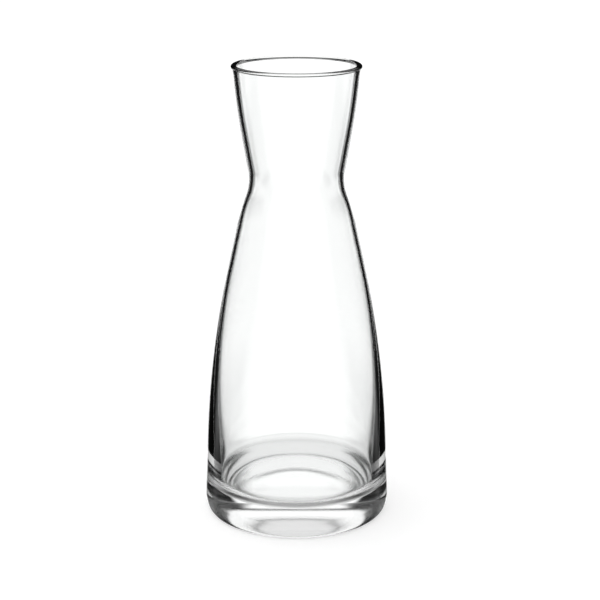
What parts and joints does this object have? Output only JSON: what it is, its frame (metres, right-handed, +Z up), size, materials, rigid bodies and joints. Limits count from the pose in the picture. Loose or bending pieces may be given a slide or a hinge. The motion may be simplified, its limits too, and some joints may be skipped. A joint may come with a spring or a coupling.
{
  "type": "water carafe",
  "caption": "Clear glass water carafe with a thick round base, a body that leans in to a narrow waist, and a flared neck with a beaded rim.",
  "frame": {"origin": "middle of the base, on the surface that the carafe stands on", "axes": "+Z up along the carafe's own axis, from the base to the mouth; the vessel is round, so X and Y are interchangeable"},
  "size_m": [0.106, 0.106, 0.258],
  "materials": {
    "clear_glass": "polished clear soda-lime glass"
  },
  "bodies": {
    "root": {"carafe": "clear_glass"}
  },
  "joints": []
}
